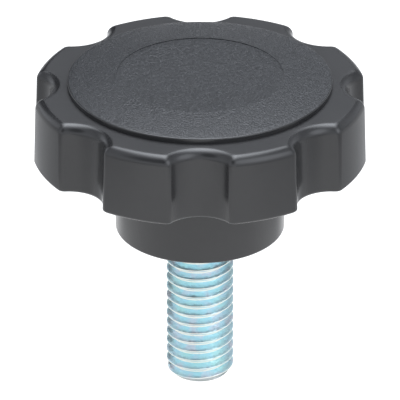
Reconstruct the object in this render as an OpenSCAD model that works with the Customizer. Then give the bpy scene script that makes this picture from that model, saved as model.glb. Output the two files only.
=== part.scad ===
// Eight-arm clamping knob with a threaded stud.
// The origin lies on the knob's axis, in the hub's seat face, with the domed top towards +Z.

/* [Rim] */
// Number of arms around the rim
arm_count = 8; // [6:1:9]
// Diameter across the arms at the foot of their walls
arm_span_d = 49.4; // [48:0.1:60]
// Height of the rim, from the underside of the arms to their flat tops
rim_h = 10.6; // [8:0.1:16]
// Depth of the scallop between two arms, measured in from the arms at the top
scallop_depth = 2.9; // [2:0.1:3.2]
// Radius of the scallop between two arms at the top
scallop_r = 4.7; // [4.5:0.1:7]
// Radius of the upright edge between an arm and a scallop at the top
arm_corner_r = 1.2; // [1.1:0.05:1.5]
// Radius of the upper edge around the arms
rim_top_edge_r = 1.5; // [0.8:0.05:1.8]
// Radius of the lower edge around the arms
rim_foot_edge_r = 0.5; // [0.3:0.05:0.8]
// Draft of the moulded outer walls, in degrees
wall_draft = 1.4; // [1.2:0.1:2.4]

/* [Disc] */
// Diameter of the raised disc on top
disc_d = 38.7; // [30:0.1:39.6]
// Height of the disc's edge above the flat tops of the arms
disc_step = 0.8; // [0.4:0.05:1.5]
// Radius of the disc's shallow dome
dome_r = 145; // [100:1:300]
// Radius of the disc's upper edge
disc_edge_r = 0.2; // [0.1:0.05:0.3]
// Diameter of the sunken circle in the middle of the disc
recess_d = 24.4; // [12:0.1:28]
// Depth of the sunken circle below its edge
recess_depth = 0.1; // [0.1:0.05:0.6]

/* [Hub] */
// Diameter of the hub
hub_d = 24.9; // [20:0.1:32]
// Length of the hub below the arms
hub_h = 12.5; // [9:0.1:20]
// Radius of the hub's lower edge
hub_edge_r = 0.4; // [0.2:0.05:1]
// Radius of the hollow where the hub runs into the underside of the arms
hub_root_r = 0.8; // [0.3:0.05:1.5]

/* [Stud] */
// Outside diameter of the stud's thread
thread_d = 10; // [8:0.5:12]
// Length of the stud below the seat face
stud_l = 24.2; // [12:0.1:60]
// Chamfer on the end of the stud
stud_chamfer = 1; // [0.4:0.05:1.5]
// Diameter of the plain neck inside the hub
neck_d = 8.2; // [6:0.1:8.5]
// Diameter of the countersink in the seat face that clears the thread
relief_d = 11.6; // [10:0.1:15]
// Diameter of the knurled collar that anchors the stud
collar_d = 13; // [9:0.1:16]
// Length of the knurled collar
collar_l = 8; // [4:0.5:10]
// Height of the collar's lower face above the seat face
collar_lift = 5; // [4.5:0.5:8]
// Number of ridges on the collar
knurl_count = 24; // [12:1:36]
// Depth of the grooves between the ridges
knurl_depth = 0.6; // [0.3:0.05:1]

/* [Hidden] */
$fn = 96;

// How far cutting shapes run past the faces that they open
overrun = 2;
// How far a rounded edge's centre is lifted towards the open side, as a share of the edge's radius
edge_lift_share = 0.004;
// Levels of the arms' flat tops and of the disc's edge
rim_top_z = hub_h + rim_h;
disc_edge_z = rim_top_z + disc_step;

// Radius of the arms' outer wall at the top, before the edge is rounded
arm_top_r = arm_span_d / 2 - rim_h * tan(wall_draft);
// Distance of the scallop's axis from the knob's axis
scallop_axis_r = arm_top_r - scallop_depth + scallop_r;
// Distance of an upright edge's axis from the knob's axis, and its angle from the scallop's middle
corner_axis_r = arm_top_r - arm_corner_r;
corner_angle = acos(
    (corner_axis_r ^ 2 + scallop_axis_r ^ 2 - (scallop_r + arm_corner_r) ^ 2)
    / (2 * corner_axis_r * scallop_axis_r)
);

// Axis of the dome's sphere, and radius and level of the sunken circle
dome_z = disc_edge_z - sqrt(dome_r ^ 2 - (disc_d / 2) ^ 2);
recess_z = dome_z + sqrt(dome_r ^ 2 - (recess_d / 2) ^ 2) - recess_depth;

// Point at a distance and an angle from the axis
function polar(r, angle) = r * [cos(angle), sin(angle)];

// Outward direction of a drafted wall, with side 1 where the wall faces outwards
// and -1 where it faces the axis
function wall_dir(side) = [side * cos(wall_draft), sin(wall_draft)];

// Centres of the rounded edges of a drafted wall that has radius r at the top
function top_edge_c(r, side) = [
    r - side * rim_top_edge_r * (1 - sin(wall_draft)) / cos(wall_draft),
    rim_top_z - rim_top_edge_r
];
function foot_edge_c(r, side) = [
    r + side * ((rim_h - rim_foot_edge_r) * tan(wall_draft) - rim_foot_edge_r / cos(wall_draft)),
    hub_h + rim_foot_edge_r
];

// Corner outside a rounded edge of radius r, between the outward directions of its two faces
module edge_corner(c, r, dir_a, dir_b) {
    translate(c + edge_lift_share * r * (dir_a + dir_b))
        difference() {
            polygon((r + overrun) * [[0, 0], dir_a, dir_a + dir_b, dir_b]);
            circle(r);
        }
}

// Both rounded edges of a drafted wall
module wall_edge_corners(r, side) {
    edge_corner(top_edge_c(r, side), rim_top_edge_r, [0, 1], wall_dir(side));
    edge_corner(foot_edge_c(r, side), rim_foot_edge_r, wall_dir(side), [0, -1]);
}

// Half section of a post with a drafted wall and rounded upper and lower edges
module post_section(r) {
    difference() {
        polygon([
            [0, hub_h],
            [r + rim_h * tan(wall_draft), hub_h],
            [r, rim_top_z],
            [0, rim_top_z]
        ]);
        wall_edge_corners(r, 1);
    }
}

// Half section of the raised disc, with its dome and rounded edge
module disc_section() {
    edge_x = disc_d / 2 - disc_edge_r;
    edge_rise = sqrt((dome_r - disc_edge_r) ^ 2 - edge_x ^ 2);
    dome_dir = [edge_x, edge_rise] / (dome_r - disc_edge_r);
    difference() {
        intersection() {
            translate([0, dome_z]) circle(dome_r, $fn = 720);
            translate([0, hub_h]) square([disc_d / 2, 2 * rim_h]);
        }
        edge_corner([edge_x, dome_z + edge_rise], disc_edge_r, dome_dir, [1, 0]);
    }
}

// Half section of the hub, with its rounded lower edge and hollow root
module hub_section() {
    hub_r = hub_d / 2;
    difference() {
        square([hub_r, rim_top_z]);
        edge_corner([hub_r - hub_edge_r, hub_edge_r], hub_edge_r, [1, 0], [0, -1]);
    }
    edge_corner([hub_r + hub_root_r, hub_h - hub_root_r], hub_root_r, [0, 1], [-1, 0]);
}

// Round blank of the body: rim, domed disc and hub, with the sunken circle and the countersink
module body_blank() {
    rotate_extrude()
        difference() {
            union() {
                post_section(arm_top_r);
                disc_section();
                hub_section();
            }
            translate([0, recess_z]) square([recess_d / 2, rim_h]);
            polygon([[0, 0], [relief_d / 2, 0], [0, relief_d / 2]]);
        }
}

// Round cutter for one scallop, flared where the rim's edges are rounded
module scallop_cutter() {
    translate([scallop_axis_r, 0, 0])
        rotate_extrude() {
            polygon([
                [0, hub_h - overrun],
                [scallop_r - (rim_h + overrun) * tan(wall_draft), hub_h - overrun],
                [scallop_r + overrun * tan(wall_draft), rim_top_z + overrun],
                [0, rim_top_z + overrun]
            ]);
            wall_edge_corners(scallop_r, -1);
        }
}

// Cutter that rounds one upright edge of a scallop, with side 1 or -1 for its two edges
module corner_cutter(side) {
    axis = polar(corner_axis_r, side * corner_angle);
    arm_dir = polar(1, side * corner_angle);
    scallop_dir = ([scallop_axis_r, 0] - axis) / (scallop_r + arm_corner_r);
    lifted = axis + edge_lift_share * arm_corner_r * (arm_dir + scallop_dir);
    cut_h = rim_h + 2 * overrun;
    translate([lifted.x, lifted.y, hub_h - overrun])
        difference() {
            linear_extrude(cut_h)
                polygon((arm_corner_r + overrun) * [[0, 0], arm_dir, arm_dir + scallop_dir, scallop_dir]);
            cylinder(
                cut_h,
                arm_corner_r + (rim_h + overrun) * tan(wall_draft),
                arm_corner_r - overrun * tan(wall_draft)
            );
        }
}

// Stud section: threaded length with a chamfered end, and the neck inside the hub
module stud_section() {
    polygon([
        [0, -stud_l],
        [thread_d / 2 - stud_chamfer, -stud_l],
        [thread_d / 2, stud_chamfer - stud_l],
        [thread_d / 2, 0],
        [neck_d / 2, 0],
        [neck_d / 2, collar_lift + collar_l],
        [0, collar_lift + collar_l]
    ]);
}

// Stud with its knurled collar
module stud_blank() {
    rotate_extrude() stud_section();
    translate([0, 0, collar_lift])
        linear_extrude(collar_l)
            polygon([
                for (i = [0 : 2 * knurl_count - 1])
                    polar(collar_d / 2 - (i % 2) * knurl_depth, i * 180 / knurl_count)
            ]);
}

// One-piece moulded body, moulded around the collar of the stud
module knob_body() {
    color([0.09, 0.09, 0.095])
        difference() {
            body_blank();
            for (i = [0 : arm_count - 1])
                rotate(i * 360 / arm_count - 90) {
                    scallop_cutter();
                    for (side = [-1, 1]) corner_cutter(side);
                }
            stud_blank();
        }
}

// Plated steel stud
module threaded_stud() {
    color([0.62, 0.78, 0.86]) stud_blank();
}

knob_body();
threaded_stud();
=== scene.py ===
import math
import bmesh
import bpy
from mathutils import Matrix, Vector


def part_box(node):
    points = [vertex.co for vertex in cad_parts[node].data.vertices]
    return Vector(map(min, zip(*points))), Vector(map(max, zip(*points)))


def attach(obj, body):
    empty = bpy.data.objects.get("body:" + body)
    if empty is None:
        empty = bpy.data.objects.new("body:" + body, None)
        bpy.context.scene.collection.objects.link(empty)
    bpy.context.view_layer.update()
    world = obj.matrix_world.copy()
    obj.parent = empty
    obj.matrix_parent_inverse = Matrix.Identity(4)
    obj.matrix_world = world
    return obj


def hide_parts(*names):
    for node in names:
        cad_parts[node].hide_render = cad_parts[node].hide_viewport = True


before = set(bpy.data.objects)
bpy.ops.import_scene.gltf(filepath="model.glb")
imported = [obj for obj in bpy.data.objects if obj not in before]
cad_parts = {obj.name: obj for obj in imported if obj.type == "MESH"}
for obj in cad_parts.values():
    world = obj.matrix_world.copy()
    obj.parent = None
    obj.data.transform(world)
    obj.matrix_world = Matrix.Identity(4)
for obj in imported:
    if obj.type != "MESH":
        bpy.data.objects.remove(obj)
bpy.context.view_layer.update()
mm = 0.001                                     # sizes below are in mm, Blender works in metres
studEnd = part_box("threaded_stud")[0][2]        # lowest point of the stud, just above the floor
print("frame loaded:", sorted(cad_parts))


# moulded body: scalloped rim, raised disc and hub in one piece
knob = {
    "arms": 8,
    "armSpan": 49.37,         # across the arms at the foot of the walls, just inside the CAD box
    "rimHeight": 10.6,
    "draft": 1.4,             # degrees
    "scallopDepth": 2.8,
    "scallopRadius": 5.3,
    "corner": 1.1,            # upright edge between an arm and a scallop, at the top of the walls
    "cornerFade": 0.2,        # how much it shrinks for each mm that the outline moves in above that
    "cornerFoot": 1.0,        # and for each mm that it moves out below
    "topEdge": 1.5,
    "footEdge": 0.5,
    "discSpan": 38.7,
    "discStep": 0.8,
    "discEdge": 0.2,
    "domeRadius": 145,
    "recessSpan": 24.4,
    "recessDepth": 0.1,
    "hubSpan": 24.9,
    "hubHeight": 12.5,
    "hubEdge": 0.4,
    "hubRoot": 0.8,
    "reliefSpan": 11.6,       # countersink around the stud
    "armSteps": 9,            # mesh columns on half an arm, an upright edge and a scallop
    "cornerSteps": 8,
    "scallopSteps": 26,
    "topSteps": 12,           # mesh rows on the rounded edges, the walls and the dome
    "footSteps": 6,
    "discEdgeSteps": 5,
    "hubSteps": 6,
    "wallSteps": 4,
    "domeSteps": 8,
    "innerRing": 0.5,         # mesh ring in the sunken circle, as a share of its radius
}

# stud: rolled right-hand thread outside, neck and knurled collar inside the hub
stud = {
    "threadSpan": 9.9,
    "pitch": 1.5,
    "threadDepth": 0.9,
    "crestShare": 0.12,       # crest and rounded root as shares of the pitch
    "rootShare": 0.2,
    "crestFlat": 0.6,         # share of the crest that is flat, and how far its edges drop
    "crestDrop": 0.03,
    "rootRise": 0.06,         # how far the root rises to the flanks, and half its turn in radians
    "rootTurn": 0.9,
    "chamfer": 1.0,
    "crestTurn": 0.84,        # turns by which a crest is ahead of the seat face on the +X side
    "neckSpan": 8.2,
    "collarSpan": 13,
    "collarLength": 8,
    "collarLift": 5,
    "ridges": 24,
    "ridgeDepth": 0.6,
    "turnSteps": 96,          # mesh columns in a turn and rows on a flank
    "flankSteps": 4,
    "spareTurns": 4,          # turns past the stud's length, cut off at both ends
}

# how meshes are closed and shaded
meshing = {
    "weld": 0.001,            # mm between points that become one
    "sharp": 38,              # degrees from which an edge stays sharp
}

rimTop = knob["hubHeight"] + knob["rimHeight"]
armTop = knob["armSpan"] / 2 - knob["rimHeight"] * math.tan(math.radians(knob["draft"]))


def steps(start, end, count, closed=False):
    return [start + (end - start) * i / count for i in range(count + (1 if closed else 0))]


def arcPoints(cx, cy, radius, start, end, count):
    return [(cx + radius * math.cos(a), cy + radius * math.sin(a)) for a in steps(start, end, count)]


def lobeOutline(inset):
    # the rim's outline, moved in from the top of the walls
    k = knob
    half = math.pi / k["arms"]
    armR = armTop - inset
    scallopR = k["scallopRadius"] + inset
    axisR = armTop - k["scallopDepth"] + k["scallopRadius"]
    cornerR = k["corner"] - max(0, inset) * k["cornerFade"] + min(0, inset) * k["cornerFoot"]
    reach, gap = armR - cornerR, scallopR + cornerR
    phi = math.acos((reach ** 2 + axisR ** 2 - gap ** 2) / (2 * reach * axisR))
    kx, ky = reach * math.cos(phi), reach * math.sin(phi)
    psi = math.atan2(ky, axisR - kx)
    sector = arcPoints(0, 0, armR, -half, -phi, k["armSteps"])
    sector += arcPoints(kx, -ky, cornerR, -phi, psi, k["cornerSteps"])
    sector += arcPoints(axisR, 0, scallopR, math.pi + psi, math.pi - psi, k["scallopSteps"])
    sector += arcPoints(kx, ky, cornerR, -psi, phi, k["cornerSteps"])
    sector += arcPoints(0, 0, armR, phi, half, k["armSteps"])
    outline = []
    for i in range(k["arms"]):
        c = math.cos(2 * half * i - math.pi / 2)
        s = math.sin(2 * half * i - math.pi / 2)
        outline += [(x * c - y * s, x * s + y * c) for x, y in sector]
    return outline


columns = [math.atan2(y, x) for x, y in lobeOutline(0)]


def lobeRing(inset, z):
    return [(x, y, z) for x, y in lobeOutline(inset)]


def roundRing(radius, z):
    return [(radius * math.cos(a), radius * math.sin(a), z) for a in columns]


def ridgePoint(angle, z):
    # saw outline of the collar's ridges
    share = (angle * stud["ridges"] / (2 * math.pi)) % 1
    r = stud["collarSpan"] / 2 - stud["ridgeDepth"] * (1 - abs(2 * share - 1))
    return (r * math.cos(angle), r * math.sin(angle), z)


def newObject(name, points, faces, finishes, materials):
    mesh = bpy.data.meshes.new(name)
    mesh.from_pydata([(x * mm, y * mm, z * mm) for x, y, z in points], [], faces)
    for material in materials:
        mesh.materials.append(material)
    mesh.polygons.foreach_set("material_index", finishes)
    mesh.polygons.foreach_set("use_smooth", [True] * len(faces))
    weld = bmesh.new()
    weld.from_mesh(mesh)
    bmesh.ops.remove_doubles(weld, verts=weld.verts, dist=meshing["weld"] * mm)
    bmesh.ops.dissolve_degenerate(weld, edges=weld.edges, dist=meshing["weld"] * mm)
    weld.to_mesh(mesh)
    weld.free()
    mesh.set_sharp_from_angle(angle=math.radians(meshing["sharp"]))
    piece = bpy.data.objects.new(name, mesh)
    bpy.context.scene.collection.objects.link(piece)
    even = piece.modifiers.new("even shading", "WEIGHTED_NORMAL")
    even.mode = "FACE_AREA"
    even.keep_sharp = True
    return piece


def buildBody(materials):
    k = knob
    gloss, grain = 0, 1
    draft = math.radians(k["draft"])
    discR, recessR, hubR = k["discSpan"] / 2, k["recessSpan"] / 2, k["hubSpan"] / 2
    rings = []                                 # each ring, with the finish of the strip below it

    def add(ring, finish=gloss):
        rings.append((ring, finish))

    def domeHeight(r):
        drop = math.sqrt(k["domeRadius"] ** 2 - discR ** 2)
        return rimTop + k["discStep"] + math.sqrt(k["domeRadius"] ** 2 - r ** 2) - drop

    recessZ = domeHeight(recessR) - k["recessDepth"]
    add(roundRing(recessR * k["innerRing"], recessZ), grain)
    add(roundRing(recessR, recessZ))

    # domed ring of the disc and its edge
    edgeX = discR - k["discEdge"]
    for r in steps(recessR, edgeX, k["domeSteps"]):
        add(roundRing(r, domeHeight(r)), grain)
    lean = math.asin(edgeX / k["domeRadius"])
    edgeZ = domeHeight(edgeX) - k["discEdge"]
    for a in steps(lean, math.pi / 2, k["discEdgeSteps"], closed=True):
        add(roundRing(edgeX + k["discEdge"] * math.sin(a), edgeZ + k["discEdge"] * math.cos(a)))
    add(roundRing(discR, rimTop))

    # rounded upper edge of the arms, drafted wall, rounded lower edge
    r = k["topEdge"]
    middle = r * (1 - math.sin(draft)) / math.cos(draft)
    for a in steps(0, math.pi / 2 - draft, k["topSteps"], closed=True):
        add(lobeRing(middle - r * math.sin(a), rimTop - r + r * math.cos(a)))
    g = k["footEdge"]
    out = (k["rimHeight"] - g) * math.tan(draft) - g / math.cos(draft)
    wallTop = rimTop - r + r * math.sin(draft)
    wallFoot = k["hubHeight"] + g + g * math.sin(draft)
    for z in steps(wallTop, wallFoot, k["wallSteps"])[1:]:
        add(lobeRing((z - rimTop) * math.tan(draft), z))
    for a in steps(draft, -math.pi / 2, k["footSteps"], closed=True):
        add(lobeRing(-out - g * math.cos(a), k["hubHeight"] + g + g * math.sin(a)))

    # underside of the arms, hub and seat face
    r = k["hubRoot"]
    for a in steps(math.pi / 2, math.pi, k["hubSteps"], closed=True):
        add(roundRing(hubR + r + r * math.cos(a), k["hubHeight"] - r + r * math.sin(a)))
    r = k["hubEdge"]
    for a in steps(0, -math.pi / 2, k["hubSteps"], closed=True):
        add(roundRing(hubR - r + r * math.cos(a), r + r * math.sin(a)))

    # countersink and the cavity around the stud's neck and collar
    reliefR, neckR = k["reliefSpan"] / 2, stud["neckSpan"] / 2
    collarTop = stud["collarLift"] + stud["collarLength"]
    add(roundRing(reliefR, 0))
    add(roundRing(neckR, reliefR - neckR))
    add(roundRing(neckR, stud["collarLift"]))
    for z in (stud["collarLift"], collarTop):
        add([ridgePoint(a, z) for a in columns])

    n = len(columns)
    points, faces, finishes = [], [], []
    for ring, finish in rings:
        points += ring
    for j in range(len(rings) - 1):
        for i in range(n):
            h = (i + 1) % n
            faces.append((j * n + i, (j + 1) * n + i, (j + 1) * n + h, j * n + h))
            finishes.append(rings[j][1])
    top, end = len(points), len(points) + 1
    points += [(0, 0, recessZ), (0, 0, collarTop)]
    last = (len(rings) - 1) * n
    for i in range(n):
        h = (i + 1) % n
        faces += [(top, i, h), (end, last + h, last + i)]
        finishes += [grain, gloss]
    return newObject("moulded_body", points, faces, finishes, materials)


def threadProfile():
    # (share of the pitch, radius) once around a thread: crest, lower flank, rounded root, upper flank
    s = stud
    tip, root = s["threadSpan"] / 2, s["threadSpan"] / 2 - s["threadDepth"]
    crest, hollow = s["crestShare"] / 2, s["rootShare"] / 2
    flat, drop = crest * s["crestFlat"], s["crestDrop"]
    bottom = 0.5                               # the root lies half a pitch below the crest
    fall = (tip - root - s["rootRise"]) / (bottom - hollow - crest)
    ridge = [(-crest, tip - drop), (-flat, tip), (flat, tip), (crest, tip - drop)]
    flank = [(u, tip - fall * (u - crest))
             for u in steps(crest, bottom - hollow, s["flankSteps"], closed=True)[1:]]
    groove = [(bottom + hollow * math.sin(a), root + s["rootRise"] * (1 - math.cos(a)))
              for a in (-s["rootTurn"], 0, s["rootTurn"])]
    return ridge + flank + groove + [(1 - u, r) for u, r in reversed(flank)]


def buildStud(material):
    s = stud
    profile = threadProfile()
    n, m = s["turnSteps"], len(profile)
    length = -studEnd / mm
    rows = (int(length / s["pitch"]) + s["spareTurns"]) * m
    neckR, endR = s["neckSpan"] / 2, s["threadSpan"] / 2 - s["chamfer"]
    angles = steps(0, 2 * math.pi, n, closed=True)
    rings = []

    def circle(r, z):
        return [(r * math.cos(a), r * math.sin(a), z) for a in angles]

    # neck and collar, from the top down
    low, high = s["collarLift"], s["collarLift"] + s["collarLength"]
    rings.append(circle(0, high))
    for z in (high, low):
        rings.append([ridgePoint(a, z) for a in angles])
    rings += [circle(neckR, low), circle(neckR, 0)]

    # thread, cut off at the seat face and by the chamfered end
    for j in range(rows):
        share, radius = profile[j % m]
        ring = []
        for i, a in enumerate(angles):
            z = (1 + i / n + s["crestTurn"] - j // m - share) * s["pitch"]
            r = neckR if z > 0 else radius
            z = min(0.0, max(-length, z))
            r = min(r, endR + z + length)
            ring.append((r * math.cos(a), r * math.sin(a), z))
        rings.append(ring)
    rings.append(circle(0, -length))

    w = n + 1
    points = [point for ring in rings for point in ring]
    faces = [(j * w + i, (j + 1) * w + i, (j + 1) * w + i + 1, j * w + i + 1)
             for j in range(len(rings) - 1) for i in range(n)]
    return newObject("threaded_stud_rolled", points, faces, [0] * len(faces), [material])


def newMaterial(name):
    material = bpy.data.materials.new(name)
    material.use_nodes = True
    nodes = material.node_tree.nodes
    return material, nodes, material.node_tree.links, nodes["Principled BSDF"]


def plug(links, value, socket):
    # a number is set on the socket, an output is linked to it
    if isinstance(value, (int, float)):
        socket.default_value = value
    else:
        links.new(value, socket)


def combine(nodes, links, operation, a, b=0.0):
    node = nodes.new("ShaderNodeMath")
    node.operation = operation
    plug(links, a, node.inputs[0])
    plug(links, b, node.inputs[1])
    return node.outputs["Value"]


def fade(nodes, links, source, start, end, low=0.0, high=1.0, curve="SMOOTHSTEP"):
    # runs from low to high while the source goes from start to end
    node = nodes.new("ShaderNodeMapRange")
    node.interpolation_type = curve
    for name, value in (("From Min", start), ("From Max", end), ("To Min", low), ("To Max", high)):
        plug(links, value, node.inputs[name])
    links.new(source, node.inputs["Value"])
    return node.outputs["Result"]


def axes(nodes, links, source):
    # x, y and z of a direction or a place
    node = nodes.new("ShaderNodeSeparateXYZ")
    links.new(source, node.inputs["Vector"])
    return node.outputs


def noise(nodes, links, scale, detail=3.0, roughness=0.55, stretch=(1, 1, 1)):
    place = nodes.new("ShaderNodeTexCoord")
    mapping = nodes.new("ShaderNodeMapping")
    mapping.inputs["Scale"].default_value = stretch
    texture = nodes.new("ShaderNodeTexNoise")
    texture.inputs["Scale"].default_value = scale
    texture.inputs["Detail"].default_value = detail
    texture.inputs["Roughness"].default_value = roughness
    links.new(place.outputs["Object"], mapping.inputs["Vector"])
    links.new(mapping.outputs["Vector"], texture.inputs["Vector"])
    return texture.outputs["Fac"]


def ramp(nodes, links, source, stops):
    # colours or grey levels along a value
    node = nodes.new("ShaderNodeValToRGB")
    elements = node.color_ramp.elements
    while len(elements) < len(stops):
        elements.new(0.5)
    for element, (position, color) in zip(elements, stops):
        element.position = position
        element.color = (*color, 1) if isinstance(color, tuple) else (color, color, color, 1)
    links.new(source, node.inputs["Fac"])
    return node.outputs["Color"]


def mixColors(nodes, links, factor, a, b):
    node = nodes.new("ShaderNodeMix")
    node.data_type = "RGBA"
    links.new(factor, node.inputs["Factor"])
    for name, value in (("A", a), ("B", b)):
        if isinstance(value, tuple):
            node.inputs[name].default_value = (*value, 1)
        else:
            links.new(value, node.inputs[name])
    return node.outputs["Result"]


def bump(nodes, links, source, strength, distance, under=None):
    node = nodes.new("ShaderNodeBump")
    node.inputs["Strength"].default_value = strength
    node.inputs["Distance"].default_value = distance
    links.new(source, node.inputs["Height"])
    if under:
        links.new(under, node.inputs["Normal"])
    return node.outputs["Normal"]


def glossPlastic():
    # polished mould faces: even black with a very slight waviness
    look = {
        "cloud": (180,),                       # noise: scale for each metre, detail, roughness
        "tone": [(0.35, (0.0196, 0.0196, 0.0204)), (0.65, (0.0224, 0.0224, 0.0232))],
        "shine": [(0.3, 0.21), (0.7, 0.25)],
        "level": [(0.97, 0), (0.998, 1)],      # z of the normal where the duller flat tops begin
        "levelShine": 0.49,
        "wave": (420, 2),
        "waveDepth": (0.05, 0.00004),          # strength, and depth in metres
        "bend": 1.5,                           # refractive index
    }
    material, nodes, links, shader = newMaterial("black_plastic_gloss")
    cloud = noise(nodes, links, *look["cloud"])
    links.new(ramp(nodes, links, cloud, look["tone"]), shader.inputs["Base Color"])

    # the flat tops of the arms are duller than the walls
    facing = nodes.new("ShaderNodeNewGeometry")
    slope = axes(nodes, links, facing.outputs["Normal"])["Z"]
    dull = nodes.new("ShaderNodeMix")
    dull.inputs["B"].default_value = look["levelShine"]
    links.new(ramp(nodes, links, slope, look["level"]), dull.inputs["Factor"])
    links.new(ramp(nodes, links, cloud, look["shine"]), dull.inputs["A"])
    links.new(dull.outputs["Result"], shader.inputs["Roughness"])

    wave = noise(nodes, links, *look["wave"])
    links.new(bump(nodes, links, wave, *look["waveDepth"]), shader.inputs["Normal"])
    shader.inputs["IOR"].default_value = look["bend"]
    return material


def grainPlastic():
    # eroded mould face on the disc: fine pits with pale points between them
    look = {
        "grain": (3600, 2, 0.6),
        "tone": [(0.4, (0.0098, 0.0106, 0.0124)), (0.64, (0.0415, 0.0435, 0.0465))],
        "shine": [(0.3, 0.38), (0.7, 0.26)],
        "depth": (1.0, 0.00011),
        "bend": 1.5,
    }
    material, nodes, links, shader = newMaterial("black_plastic_grain")
    pits = noise(nodes, links, *look["grain"])
    links.new(ramp(nodes, links, pits, look["tone"]), shader.inputs["Base Color"])
    links.new(ramp(nodes, links, pits, look["shine"]), shader.inputs["Roughness"])
    links.new(bump(nodes, links, pits, *look["depth"]), shader.inputs["Normal"])
    shader.inputs["IOR"].default_value = look["bend"]
    return material


def zincPlate():
    # blue passivated zinc: a clouded blue film on the flanks; where the surface stands upright, on the
    # crests and roots, a pale cream colour that is partly rubbed zinc and partly a painted highlight of
    # the bright floor's reflection
    look = {
        "cloud": (420,),
        "film": [(0.36, (0.71, 0.77, 0.83)), (0.47, (0.58, 0.81, 0.88)), (0.62, (0.61, 0.835, 0.845))],
        # pale cream for upright faces: rubbed zinc and painted highlight
        "rubbedAndHighlight": (0.79, 0.8, 0.73),
        "flank": [(0.5, 0), (0.95, 1)],        # slope where the film begins
        "nicks": (1700, 2, 0.6),               # small dents, which make that edge ragged
        "ragged": 0.7,
        "nickDepth": (0.6, 0.0002),
        "bareSteelAndShade": (0.42, 0.45, 0.45),             # darker grey on the chamfered end, below a share of the chamfer: bare cut steel and painted shade where the end stands on the floor
        "bareSteelAndShadeShare": 0.6,
        "streak": (900, 3, 0.6, (1, 1, 2.5)),
        "streakDepth": (0.25, 0.00008),
        "shine": [(0.3, 0.34), (0.7, 0.46)],
    }
    material, nodes, links, shader = newMaterial("zinc_plate_blue")
    facing = nodes.new("ShaderNodeNewGeometry")
    slope = combine(nodes, links, "ABSOLUTE", axes(nodes, links, facing.outputs["Normal"])["Z"])
    nicks = noise(nodes, links, *look["nicks"])
    edge = combine(nodes, links, "ADD", combine(nodes, links, "MULTIPLY", nicks, look["ragged"]), slope)
    film = ramp(nodes, links, noise(nodes, links, *look["cloud"]), look["film"])
    # upright faces get the pale painted-highlight colour, the flanks the blue film
    tone = mixColors(nodes, links, ramp(nodes, links, edge, look["flank"]), look["rubbedAndHighlight"], film)

    place = nodes.new("ShaderNodeTexCoord")
    height = axes(nodes, links, place.outputs["Object"])["Z"]
    cutTop = stud["chamfer"] * mm
    # painted shade and bare steel colour on the chamfered end, full below a share of the chamfer
    end = fade(nodes, links, height, studEnd + cutTop, studEnd + cutTop * look["bareSteelAndShadeShare"], curve="LINEAR")
    links.new(mixColors(nodes, links, end, tone, look["bareSteelAndShade"]), shader.inputs["Base Color"])

    streak = noise(nodes, links, *look["streak"])
    links.new(ramp(nodes, links, streak, look["shine"]), shader.inputs["Roughness"])
    relief = bump(nodes, links, streak, *look["streakDepth"])
    dents = bump(nodes, links, nicks, *look["nickDepth"], under=relief)
    links.new(dents, shader.inputs["Normal"])
    shader.inputs["Metallic"].default_value = 1.0
    return material


body = buildBody([glossPlastic(), grainPlastic()])
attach(body, "root")
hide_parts("knob_body")
print("body built:", len(body.data.polygons), "faces")

rolled = buildStud(zincPlate())
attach(rolled, "root")
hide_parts("threaded_stud")
print("stud built:", len(rolled.data.polygons), "faces")


# studio: pale floor lit from below, a soft light overhead, three fills and two dark cards
studio = {
    "floorSide": 6.0,         # metres
    "floorDrop": 0.02,        # gap under the stud in mm
    "floorTone": 0.25,
    "floorRoughness": 0.9,
    "floorGlow": (1.02, 0.36),   # light through the floor, in the middle and off to both sides
    "floorReach": (56, 125),  # mm from the middle where it starts to fall and is low
    "rearReach": (36, 66),    # the same behind the object, and where along y it takes over
    "rearTurn": (-10, 30),
    "floorShift": -4,         # x of the bright middle in mm
    "tint": (0.96, 1.0, 1.07),
    "rear": 0.32,             # brightness of the sky behind the object and on the camera's side
    "front": 1.0,
    "skyTurn": (-0.5, 0.5),   # y of the direction where one turns into the other
    "low": 0.16,              # what the horizon adds to it
    "lowReach": (0.1, 0.45),
    "top": 6.8,
    "topFrom": (32, 66),      # degrees up from the rear horizon where it starts and is full
    "topTo": (74, 117),       # and where it starts to fall and ends
    "topMiddle": -0.03,       # sideways share of the direction in its middle and where it fades out
    "topReach": (0.03, 0.52),
    "fills": [                # strength, degrees to the right of the camera's side and up,
        (1.6, (45, 33), (30, 8)),      # degrees from the middle where it starts and is full
        (0.8, (-128, 20), (25, 8)),
        (0.4, (128, 20), (25, 8)),
    ],
    "cards": [                # share of the light taken away, place and reach
        (0.9, (-29, 40), (26, 13)),
        (1.0, (-160, 25), (29, 11)),
    ],
}


def floorMaterial():
    s = studio
    material, nodes, links, shader = newMaterial("pale_floor")
    shader.inputs["Base Color"].default_value = (*[s["floorTone"]] * 3, 1)
    shader.inputs["Emission Color"].default_value = (1, 1, 1, 1)
    shader.inputs["Roughness"].default_value = s["floorRoughness"]
    shader.inputs["Specular IOR Level"].default_value = 0.0
    place = nodes.new("ShaderNodeTexCoord")
    spot = axes(nodes, links, place.outputs["Object"])
    offset = combine(nodes, links, "SUBTRACT", spot["X"], s["floorShift"] * mm)
    aside = combine(nodes, links, "ABSOLUTE", offset)
    turn = [v * mm for v in s["rearTurn"]]
    start, end = [fade(nodes, links, spot["Y"], *turn, near * mm, far * mm)
                  for near, far in zip(s["floorReach"], s["rearReach"])]
    glow = fade(nodes, links, aside, start, end, *s["floorGlow"])
    links.new(glow, shader.inputs["Emission Strength"])

    # seen from below, the floor is clear, so that the underside shows
    side = nodes.new("ShaderNodeNewGeometry")
    clear = nodes.new("ShaderNodeBsdfTransparent")
    either = nodes.new("ShaderNodeMixShader")
    links.new(side.outputs["Backfacing"], either.inputs["Fac"])
    links.new(shader.outputs["BSDF"], either.inputs[1])
    links.new(clear.outputs["BSDF"], either.inputs[2])
    links.new(either.outputs["Shader"], nodes["Material Output"].inputs["Surface"])
    return material


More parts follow.
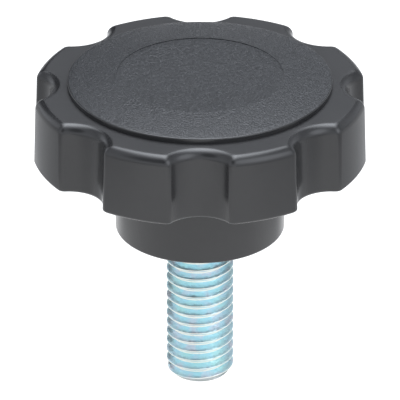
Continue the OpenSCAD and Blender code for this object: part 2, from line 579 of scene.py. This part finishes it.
def buildFloor():
    half = studio["floorSide"] / 2
    z = studEnd - studio["floorDrop"] * mm
    corners = [(-half, -half, z), (half, -half, z), (half, half, z), (-half, half, z)]
    mesh = bpy.data.meshes.new("floor")
    mesh.from_pydata(corners, [], [(0, 1, 2, 3)])
    mesh.materials.append(floorMaterial())
    floor = bpy.data.objects.new("floor", mesh)
    bpy.context.scene.collection.objects.link(floor)


def buildLight():
    s = studio
    world = bpy.data.worlds.new("studio")
    bpy.context.scene.world = world
    world.use_nodes = True
    nodes, links = world.node_tree.nodes, world.node_tree.links
    back = nodes["Background"]
    back.inputs["Color"].default_value = (*s["tint"], 1)
    place = nodes.new("ShaderNodeTexCoord")
    toward = axes(nodes, links, place.outputs["Generated"])

    def join(operation, a, b=0.0):
        return combine(nodes, links, operation, a, b)

    def blend(source, ends, low=0.0, high=1.0):
        return fade(nodes, links, source, *ends, low, high)

    def radians(degrees):
        return [math.radians(v) for v in degrees]

    def lobe(at, reach):
        # 1 near a direction and 0 away from it
        side, up = radians(at)
        dot = nodes.new("ShaderNodeVectorMath")
        dot.operation = "DOT_PRODUCT"
        dot.inputs[1].default_value = (
            math.sin(side) * math.cos(up), -math.cos(side) * math.cos(up), math.sin(up))
        links.new(place.outputs["Generated"], dot.inputs[0])
        return blend(dot.outputs["Value"], [math.cos(v) for v in radians(reach)])

    rise = join("ARCTAN2", toward["Z"], toward["Y"])
    topStart = blend(rise, radians(s["topFrom"]))
    topEnd = blend(rise, radians(s["topTo"]), 1.0, 0.0)
    aside = join("ABSOLUTE", join("SUBTRACT", toward["X"], s["topMiddle"]))
    topSide = blend(aside, s["topReach"], s["top"], 0.0)
    top = join("MULTIPLY", join("MULTIPLY", topStart, topEnd), topSide)
    sky = blend(toward["Y"], s["skyTurn"], s["front"], s["rear"])
    low = blend(toward["Z"], s["lowReach"], s["low"], 0.0)
    light = join("ADD", join("ADD", sky, low), top)
    for strength, at, reach in s["fills"]:
        light = join("ADD", light, join("MULTIPLY", lobe(at, reach), strength))
    for share, at, reach in s["cards"]:
        shade = join("SUBTRACT", 1.0, join("MULTIPLY", lobe(at, reach), share))
        light = join("MULTIPLY", light, shade)
    links.new(light, back.inputs["Strength"])


# camera: the photo's angle, worked out from the object's outline
view = {
    "distance": 1000,         # mm from the middle of the rim's top
    "elevation": 26.41,       # degrees up to the camera, and down along its axis
    "pitch": 27.377,
    "lens": 617.0,
    "sensor": 36,
    "farthest": 20,           # metres
}


def buildCamera():
    data = bpy.data.cameras.new("camera")
    data.sensor_width = view["sensor"]
    data.lens = view["lens"]
    data.clip_end = view["farthest"]
    camera = bpy.data.objects.new("camera", data)
    e = math.radians(view["elevation"])
    d = view["distance"] * mm
    camera.location = (0, -d * math.cos(e), rimTop * mm + d * math.sin(e))
    camera.rotation_euler = (math.pi / 2 - math.radians(view["pitch"]), 0, 0)
    bpy.context.scene.collection.objects.link(camera)
    bpy.context.scene.camera = camera


buildFloor()
buildLight()
buildCamera()
bpy.context.scene.view_settings.view_transform = "Standard"
print("studio set")
